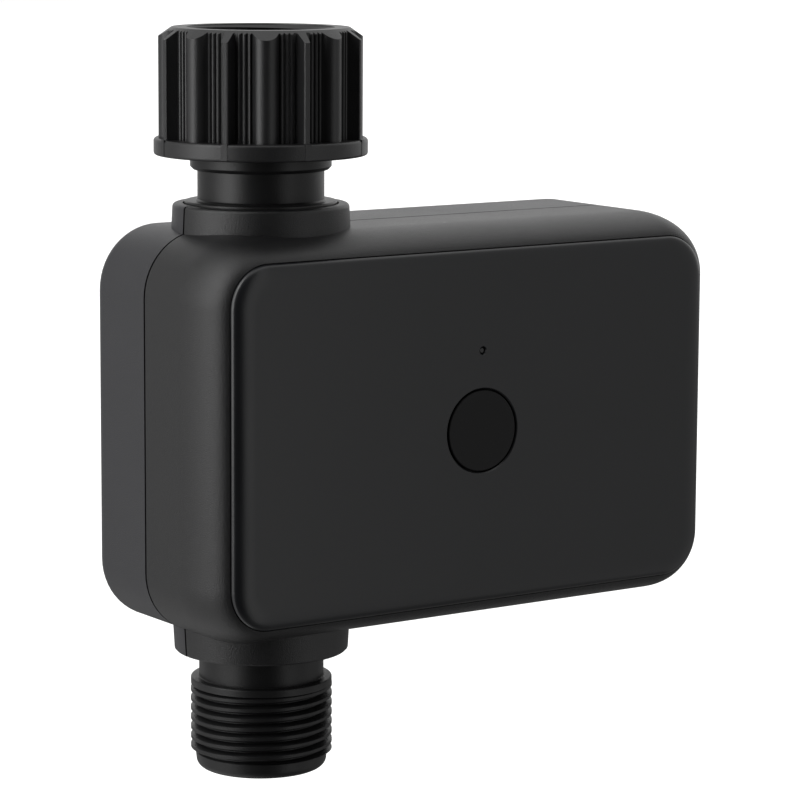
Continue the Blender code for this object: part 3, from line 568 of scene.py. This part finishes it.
def back_shell():
    """Back half of the housing with screw posts and wells, the door's opening and its ledge."""
    well = [(0, 14.2), (2.7, 14.2), (2.7, BACK_Y - 0.35), (3.05, BACK_Y), (3.05, BACK_Y + 2),
            (0, BACK_Y + 2)]
    post = [(0, 0.2), (3.4, 0.2), (3.4, 16), (0, 16)]
    wells = [moved(turned(well, 40), (x, 0, z), "Y") for x, z in screw_places()]
    posts = [moved(turned(post, 32), (x, 0, z), "Y") for x, z in screw_places()]
    ledge = box_mesh((14.2, 24.2), (12.7, 16.0), (BALL_Z - 10.5, BALL_Z + 10.5))
    screw_hole = turned([(0, 11), (1.7, 11), (1.7, 16), (0, 16)], 24)
    bm = combined(
        housing_block(BACK_RIM - 6, BACK_Y, BACK_FILLET),
        ("UNION", collars()),
        ("DIFFERENCE", box_mesh(OUTSIDE, (-60, BACK_RIM), (-130, 10))),
        ("DIFFERENCE", housing_block(BACK_RIM - 1, BACK_Y - WALL, 1.5, WALL)),
        ("DIFFERENCE", pipe_holes()),
        ("UNION", joined(*posts, ledge)),
        ("DIFFERENCE", door_outline(0.25, (DOOR_LOW.y - 0.3, BACK_Y + 2))),
        ("DIFFERENCE", joined(*wells)),
        ("DIFFERENCE", moved(screw_hole, (DOOR_SCREW_X, 0, BALL_Z), "Y")),
    )
    # The back shell's material is painted sheen: a paler colour standing in for the light its sides
    # catch.
    return finish_piece("back_shell_skin", bm, spark_eroded_abs_painted_sheen(), "housing",
                        ["back_shell"], soften=0.09)


def face_panel():
    """A plate whose edge falls away in a wide, shallow curve."""
    x, z = inset(BODY_X, PANEL_MARGIN), inset(BODY_Z, PANEL_MARGIN)
    corner = BODY_CORNER - PANEL_MARGIN
    bm = domed_plate(x, z, corner, (PANEL_HIGH.y, PANEL_Y), 4.4, 1.8, power=1.28)
    hole_r = BUTTON_R + 0.28
    hole = turned([(0, -30), (hole_r + 0.22, -30), (hole_r + 0.22, PANEL_Y),
                   (hole_r, PANEL_Y + 0.22), (hole_r, PANEL_Y + 1.3), (9.2, PANEL_Y + 1.3),
                   (9.2, -18), (0, -18)], 96)
    light = turned([(0, -30), (0.85, -30), (0.85, PANEL_Y), (0.6, PANEL_Y + 0.3), (0.6, -18),
                    (0, -18)], 32)
    bm = combined(bm, ("DIFFERENCE", moved(hole, (BUTTON_X, 0, BUTTON_Z), "Y")),
                  ("DIFFERENCE", moved(light, (BUTTON_X, 0, LIGHT_Z), "Y")))
    return finish_piece("face_panel_skin", bm, SLOT_MATERIALS["panel"], "housing",
                        ["face_panel"], sharp=40)


def button():
    """A flat cap with a fine rounded rim and a flange that keeps it behind the panel."""
    front = PANEL_Y + 0.02
    profile = [(0, front + 0.05), (BUTTON_R - 2.5, front + 0.02)]
    profile += arc((BUTTON_R - 0.3, front + 0.3), 0.3, -90, 0, 4)
    profile += [(BUTTON_R, PANEL_Y + 1.6), (8.8, PANEL_Y + 1.6), (8.8, PANEL_Y + 2.3),
                (2.0, PANEL_Y + 2.3), (2.0, BUTTON_HIGH.y), (0, BUTTON_HIGH.y)]
    bm = moved(turned(profile), (BUTTON_X, 0, BUTTON_Z), "Y")
    return finish_piece("button_skin", bm, SLOT_MATERIALS["button"], "button",
                        ["button_cap"])


# ---------------------------------------------------------------------------------------------
# Inlet nut and pipes


NUT_FINS = 8
NUT_PHASE = 38.2
FIN_TIP_R = 19.45
FIN_HALF = 0.6
BASE_R = 17.0
RIM_R = 16.45
LOBE_R = 2.3


def nut_outline():
    """One bay at a time: half a fin, three fine ridges, a half-round lobe, three ridges."""
    bay = math.tau / NUT_FINS
    half = []
    half.append((FIN_TIP_R, math.asin((FIN_HALF - 0.2) / FIN_TIP_R)))
    half.append((FIN_TIP_R - 0.2, math.asin(FIN_HALF / FIN_TIP_R)))
    half.append((BASE_R + 0.2, math.asin((FIN_HALF + 0.2) / BASE_R)))
    half.append((BASE_R - 0.05, math.asin((FIN_HALF + 0.4) / BASE_R)))
    lobe_half = math.asin(LOBE_R / BASE_R)
    start = math.asin((FIN_HALF + 0.95) / BASE_R)
    stop = bay / 2 - lobe_half
    ridges = 3
    step = (stop - start) / ridges
    for i in range(ridges):
        left = start + i * step
        for share, lift in ((0.0, 0.0), (0.22, 0.34), (0.42, 0.42), (0.62, 0.34), (0.82, 0.0)):
            half.append((BASE_R + lift, left + share * step))
    centre_r = BASE_R - 0.45
    for i in range(1, 13):
        angle = math.radians(12 + 78 * i / 12)
        out = centre_r + LOBE_R * math.sin(angle)
        side = LOBE_R * math.cos(angle)
        half.append((math.hypot(out, side), bay / 2 - math.atan2(side, out)))
    points = []
    for k in range(NUT_FINS):
        start_turn = math.radians(NUT_PHASE) + k * bay
        points += [(r, start_turn + a) for r, a in half]
        points += [(r, start_turn + bay - a) for r, a in reversed(half[:-1])]
    return [(r * math.cos(a), r * math.sin(a)) for r, a in points]


def helix_rod(root, crest, low, high, steps=64, crest_flat=0.40):
    """A rod with a rounded helical thread, cut flat at both ends."""
    pitch = THREAD_PITCH
    middle = pitch / 2
    flat = crest_flat * pitch / 2
    rise = 0.26 * pitch
    profile = [(root, 0.0), (root, middle - flat - rise),
               (root + 0.12, middle - flat - rise + 0.06),
               (crest - 0.14, middle - flat - 0.06), (crest, middle - flat + 0.08),
               (crest, middle + flat - 0.08), (crest - 0.14, middle + flat + 0.06),
               (root + 0.12, middle + flat + rise - 0.06), (root, middle + flat + rise),
               (root, pitch)]
    turns = math.ceil((high - low) / pitch) + 2
    bm = bmesh.new()
    verts = [bm.verts.new((r, 0.0, low - 1.5 * pitch + z)) for r, z in profile]
    edges = [bm.edges.new(pair) for pair in zip(verts, verts[1:])]
    bmesh.ops.spin(bm, geom=verts + edges, cent=(0, 0, 0), axis=(0, 0, 1), angle=math.tau * turns,
                   steps=steps * turns, dvec=(0, 0, pitch / steps), use_merge=False)
    bmesh.ops.remove_doubles(bm, verts=bm.verts, dist=1e-3)
    for height, upward in ((low, False), (high, True)):
        geometry = list(bm.verts) + list(bm.edges) + list(bm.faces)
        result = bmesh.ops.bisect_plane(bm, geom=geometry, plane_co=(0, 0, height),
                                        plane_no=(0, 0, 1), clear_outer=upward,
                                        clear_inner=not upward)
        rim = [item for item in result["geom_cut"] if isinstance(item, bmesh.types.BMEdge)]
        bmesh.ops.holes_fill(bm, edges=rim)
    bmesh.ops.recalc_face_normals(bm, faces=bm.faces)
    return bm


def swivel_nut():
    """Nut with a chamfered top, a flange with a land below every fin, and a female thread."""
    top, bottom = NUT_HIGH.z, NUT_LOW.z
    flange_top = bottom + 3.15
    slope = 0.70
    reach = FIN_TIP_R + 3
    cone = [(0, bottom - 5), (reach, bottom - 5), (reach, top - (reach - RIM_R) * slope),
            (RIM_R, top), (0, top)]
    flange_r = 19.78
    flange = [(0, bottom), (flange_r - 0.5, bottom)]
    flange += arc((flange_r - 0.5, bottom + 0.5), 0.5, -90, 0, 4)
    flange += arc((flange_r - 0.6, flange_top - 0.6), 0.6, 0, 90, 5)
    flange += [(0, flange_top)]
    lands = []
    for k in range(NUT_FINS):
        land = box_mesh((FIN_TIP_R - 2, flange_r + 0.05), (-FIN_HALF, FIN_HALF),
                        (bottom + 0.25, flange_top))
        turn = Matrix.Rotation(math.radians(NUT_PHASE) + k * math.tau / NUT_FINS, 3, "Z")
        bmesh.ops.rotate(land, verts=land.verts, matrix=turn)
        lands.append(land)
    bore = NECK_R + 0.3
    relief = 13.35
    minor = THREAD_ROOT + 0.15
    cavity = [(0, bottom - 1), (bore + 0.4, bottom - 1), (bore + 0.4, bottom), (bore, bottom + 0.4),
              (bore, -6.8), (relief, -6.8), (relief, -1.0), (minor, 0.2), (minor, top - 1.3),
              (relief + 0.25, top - 0.2), (relief + 0.45, top + 0.5), (0, top + 0.5)]
    bm = combined(
        prism(nut_outline(), flange_top - 1, top),
        ("INTERSECT", turned(cone, 128)),
        ("UNION", turned(flange, 128)),
        ("UNION", joined(*lands)),
        ("DIFFERENCE", turned(cavity, 96)),
        ("DIFFERENCE", helix_rod(THREAD_ROOT - 0.3, THREAD_CREST + 0.12, -0.6, top + 1.5,
                                 steps=48)),
    )
    return finish_piece("swivel_nut_skin", bm, SLOT_MATERIALS["nut"], "nut", ["swivel_nut"],
                        soften=0.07, sharp=32)


def inlet_tube():
    """Neck with a disc on the collar, its foot in the valve body and the nut's lip on top."""
    low, high = TUBE_LOW.z, TUBE_HIGH.z
    disc_low, disc_top = COLLAR_TOP - 0.6, COLLAR_TOP + 0.5
    profile = [(8.0, low), (9.4, low), (9.4, -42.0), (13.5, -42.0), (13.5, -39.0), (NECK_R, -37.0),
               (NECK_R, disc_low), (NECK_DISC_R, disc_low)]
    profile += arc((NECK_DISC_R - 0.35, disc_top - 0.35), 0.35, 0, 90, 4)
    profile += [(NECK_R + 0.3, disc_top), (NECK_R, disc_top + 0.3), (NECK_R, -6.5), (12.6, -6.5),
                (12.9, -6.2), (12.9, -3.3), (12.6, high), (9.5, high), (9.4, high - 0.1),
                (9.4, -4.7), (8.0, -4.7)]
    return finish_piece("inlet_tube_skin", turned(profile, 128, closed=True),
                        SLOT_MATERIALS["pipe"], "housing", ["inlet_tube"])


def retainer_ring():
    """Chamfered ring below the nut."""
    low, high = RETAINER_LOW.z, RETAINER_HIGH.z
    outer = 13.1
    inner = NECK_R + 0.22
    profile = [(inner, low), (outer - 0.75, low), (outer - 0.55, low + 0.08),
               (outer - 0.05, low + 0.6), (outer, low + 0.72), (outer, high - 0.1),
               (outer - 0.1, high), (inner, high)]
    return finish_piece("retainer_ring_skin", turned(profile, 128, closed=True),
                        SLOT_MATERIALS["pipe"], "housing", ["retainer_ring"])


def outlet_pipe():
    """Valve body with its plain ring, male thread and rounded lead-in."""
    end = PIPE_LOW.z - OUTLET_END_EXTRA
    top = PIPE_HIGH.z
    ring_r = 13.3
    outer = [(0, end), (10.2, end)]
    outer += arc((10.6, end + 1.7), 1.7, -90, -5, 8)
    outer += [(12.45, THREAD_END - 0.35), (11.7, THREAD_END + 0.3), (11.7, THREAD_TOP - 0.4),
              (ring_r, THREAD_TOP - 0.15), (ring_r, -108.4)]
    outer += arc((ring_r - 0.25, -108.42), 0.25, 0, 90, 3)
    outer += [(NECK_R + 0.15, -108.17), (NECK_R, -108.0), (NECK_R, -82.0), (12.6, -78.0),
              (12.6, -46.0), (13.5, -45.0), (13.5, top), (0, top)]
    bore, chamber, floor = 8.0, 9.7, -72.3
    waterway = [(0, end - 1), (bore + 0.5, end - 1), (bore + 0.5, end), (bore, end + 0.5),
                (bore, floor), (chamber, floor), (chamber, -44.0), (11.5, -44.0),
                (11.5, top + 1), (0, top + 1)]
    boss = moved(turned([(0, 8.0), (7.0, 8.0), (7.0, 19.9), (0, 19.9)], 48), (0, 0, BALL_Z), "X")
    stem = turned([(0, 6), (3.25, 6), (3.25, 15), (5.2, 15), (5.2, 22), (0, 22)], 48)
    bm = combined(
        turned(outer, 128),
        ("UNION", helix_rod(THREAD_ROOT, THREAD_CREST, THREAD_END, THREAD_TOP - 0.1)),
        ("UNION", boss),
        ("DIFFERENCE", turned(waterway, 96)),
        ("DIFFERENCE", moved(stem, (0, 0, BALL_Z), "X")),
    )
    return finish_piece("outlet_pipe_skin", bm, SLOT_MATERIALS["pipe"], "housing",
                        ["valve_body"], sharp=28)


# ---------------------------------------------------------------------------------------------
# Back: door and screws


def battery_door():
    """The door has a row of raised grip bars at its free end."""
    bars = []
    for i in range(5):
        x = DOOR_HIGH.x - 8.0 - 2.6 * i
        bars.append(rounded_plate((x - 0.6, x + 0.6), (BALL_Z - 12, BALL_Z + 12), 0.55,
                                  (BACK_Y - 0.4, BACK_Y + 0.45), fillet=0.4, corner_steps=5,
                                  fillet_steps=3))
    head = turned([(0, BACK_Y - 1.1), (3.5, BACK_Y - 1.1), (3.5, BACK_Y - 0.3), (3.8, BACK_Y),
                   (3.8, BACK_Y + 2), (0, BACK_Y + 2)], 64)
    hole = turned([(0, 10), (1.8, 10), (1.8, 20), (0, 20)], 32)
    bm = combined(
        door_outline(0.0, (DOOR_LOW.y, BACK_Y)),
        ("UNION", joined(*bars)),
        ("DIFFERENCE", moved(head, (DOOR_SCREW_X, 0, BALL_Z), "Y")),
        ("DIFFERENCE", moved(hole, (DOOR_SCREW_X, 0, BALL_Z), "Y")),
    )
    return finish_piece("battery_door_skin", bm, SLOT_MATERIALS["housing"], "door",
                        ["battery_door"], soften=0.2)


def door_screw():
    """Slotted head, flush with the door, on a short shank."""
    seat = BACK_Y - 0.8
    profile = [(0, 12.4), (1.0, 12.4), (1.4, 12.9), (1.4, seat), (3.2, seat), (3.2, BACK_Y - 0.25)]
    profile += arc((2.95, BACK_Y - 0.25), 0.25, 0, 90, 4)
    profile.append((0, BACK_Y + 0.02))
    slot = box_mesh((-2.6, 2.6), (BACK_Y - 0.5, BACK_Y + 1), (-0.45, 0.45))
    bm = combined(moved(turned(profile, 64), (0, 0, 0), "Y"), ("DIFFERENCE", slot))
    bmesh.ops.translate(bm, verts=bm.verts, vec=(DOOR_SCREW_X, 0, BALL_Z))
    return finish_piece("door_screw_skin", bm, SLOT_MATERIALS["steel"], "door_screw_body",
                        ["door_screw"], soften=0.05)


def shell_screws():
    """Pan heads with a cross recess, in their wells."""
    for number, (x, z) in enumerate(screw_places(), 1):
        profile = [(0, -12), (0.7, -12), (1.2, -11), (1.2, 14.5), (2.4, 14.5), (2.4, 15.4)]
        profile += arc((1.6, 15.4), 0.8, 0, 90, 6)
        profile.append((0, 16.3))
        arms = [box_mesh((-1.35, 1.35), (15.5, 18), (-0.24, 0.24)),
                box_mesh((-0.24, 0.24), (15.5, 18), (-1.35, 1.35))]
        bm = combined(moved(turned(profile, 40), (0, 0, 0), "Y"), ("DIFFERENCE", arms[0]),
                      ("DIFFERENCE", arms[1]))
        turn = Matrix.Rotation(0.5 * number, 3, "Y")
        bmesh.ops.rotate(bm, verts=bm.verts, cent=(0, 0, 0), matrix=turn)
        bmesh.ops.translate(bm, verts=bm.verts, vec=(x, 0, z))
        finish_piece(f"shell_screw_{number}_skin", bm, SLOT_MATERIALS["steel"], "housing",
                     [f"shell_screw_{number}"])


def battery_cells():
    """AA cells with a rounded jacket and a positive button, laid head to tail."""
    for number in range(1, 5):
        low, high = span(f"battery_cell_{number}")
        middle = (low + high) / 2
        radius, half = (high.z - low.z) / 2, (high.x - low.x) / 2
        shoulder = 1.3 - half
        profile = [(0, -half), (2.45, -half), (2.75, 0.3 - half), (2.75, shoulder), (5.6, shoulder)]
        profile += arc((radius - 0.6, shoulder + 0.6), 0.6, -90, 0, 5)
        profile += arc((radius - 0.6, half - 0.6), 0.6, 0, 90, 5)
        profile += [(radius - 1.0, half - 0.25), (0, half - 0.25)]
        bm = moved(turned(profile, 64), (0, 0, 0), "X")
        if number % 2 == 0:
            bmesh.ops.rotate(bm, verts=bm.verts, matrix=Matrix.Rotation(math.pi, 3, "Z"))
        bmesh.ops.translate(bm, verts=bm.verts, vec=middle)
        finish_piece(f"battery_cell_{number}_skin", bm, SLOT_MATERIALS["cell_jacket"], "housing",
                     [f"battery_cell_{number}"])


# ---------------------------------------------------------------------------------------------
# Studio


FLOOR_Z = -0.62
FLOOR_HALF = 15.0
TENT_R = 0.5
TENT_CENTRE = Vector((0.03, 0.0, -0.06))

# Light tent round the part: (name, azimuth, elevation, glow). Azimuth runs from the front to the
# left, in degrees; a glow near 0 is black cloth.
TENT = (
    ("black_front", (-4, 73), (-45, 60), 0.03),
    ("strip_right", (-24, -4), (-45, 60), 0.95),
    ("grey_right", (-80, -24), (-45, 60), 0.44),
    ("low_right", (-180, -80), (-45, -2), 0.2),
    ("back_right", (-180, -80), (-2, 60), 0.95),
    ("softbox_edge", (73, 80), (-9, 60), 2.6),
    ("softbox_front", (80, 98), (-9, 40), 4.2),
    ("softbox_left", (98, 116), (-9, 40), 2.4),
    ("softbox_high", (80, 116), (40, 60), 5.0),
    ("softbox_foot", (73, 116), (-45, -9), 1.0),
    ("fill_left", (116, 138), (-45, 60), 0.60),
    ("back_left", (138, 180), (-45, 60), 0.44),
    ("roof", (-180, 180), (60, 90), 1.1),
    ("under_front", (-180, 80), (-90, -45), 0.15),
    ("under_left", (80, 180), (-90, -45), 0.8),
)


def add_panel(name, azimuth, elevation, glow):
    """One glowing or black panel of the tent; the camera looks through it."""
    bm = bmesh.new()
    bmesh.ops.create_grid(bm, x_segments=max(2, round((azimuth[1] - azimuth[0]) / 8)), y_segments=6,
                          size=0.5)
    for vert in bm.verts:
        turn = math.radians(azimuth[0] + (azimuth[1] - azimuth[0]) * (vert.co.x + 0.5))
        lift = math.radians(elevation[0] + (elevation[1] - elevation[0]) * (vert.co.y + 0.5))
        out = Vector((-math.sin(turn) * math.cos(lift), -math.cos(turn) * math.cos(lift),
                      math.sin(lift)))
        vert.co = TENT_CENTRE + out * TENT_R
    mesh = bpy.data.meshes.new(name)
    bm.to_mesh(mesh)
    bm.free()
    obj = bpy.data.objects.new(name, mesh)
    bpy.context.collection.objects.link(obj)
    mat, _, shader, _ = blank_material(name + "_cloth")
    shader.inputs["Base Color"].default_value = (0.0, 0.0, 0.0, 1.0)
    shader.inputs["Specular IOR Level"].default_value = 0.0
    shader.inputs["Emission Color"].default_value = (1.0, 1.0, 1.0, 1.0)
    shader.inputs["Emission Strength"].default_value = glow
    mesh.materials.append(mat)
    obj.visible_camera = False


def studio():
    """White surroundings, a pale floor below the tent, and the tent's panels."""
    world = bpy.data.worlds.new("white_studio")
    world.use_nodes = True
    world.node_tree.nodes["Background"].inputs["Color"].default_value = (1, 1, 1, 1)
    world.node_tree.nodes["Background"].inputs["Strength"].default_value = 1.0
    bpy.context.scene.world = world
    bm = bmesh.new()
    bmesh.ops.create_grid(bm, x_segments=1, y_segments=1, size=FLOOR_HALF)
    bmesh.ops.translate(bm, verts=bm.verts, vec=(0, 0, FLOOR_Z))
    mesh = bpy.data.meshes.new("floor")
    bm.to_mesh(mesh)
    bm.free()
    mesh.materials.append(pale_floor())
    obj = bpy.data.objects.new("floor", mesh)
    bpy.context.collection.objects.link(obj)
    for panel in TENT:
        add_panel(*panel)


CAMERA_AT = (-0.3345, -0.5294, 0.0414)
LENS_MM = 152.6
HEADING = math.radians(-34.66)
TILT = math.radians(8.81)
ROLL = math.radians(0.31)


def camera():
    """A long lens from the front left, tilted down a little."""
    data = bpy.data.cameras.new("view")
    data.sensor_width = 36.0
    data.lens = LENS_MM
    data.clip_end = 60.0
    obj = bpy.data.objects.new("view", data)
    bpy.context.collection.objects.link(obj)
    turn = (Matrix.Rotation(HEADING, 4, "Z") @ Matrix.Rotation(math.radians(90) - TILT, 4, "X")
            @ Matrix.Rotation(ROLL, 4, "Z"))
    obj.matrix_world = Matrix.Translation(CAMERA_AT) @ turn
    bpy.context.scene.camera = obj
    bpy.context.scene.view_settings.view_transform = "Standard"


camera()
paint_frame()
front_shell()
back_shell()
face_panel()
button()
swivel_nut()
inlet_tube()
retainer_ring()
outlet_pipe()
battery_door()
door_screw()
shell_screws()
battery_cells()
studio()
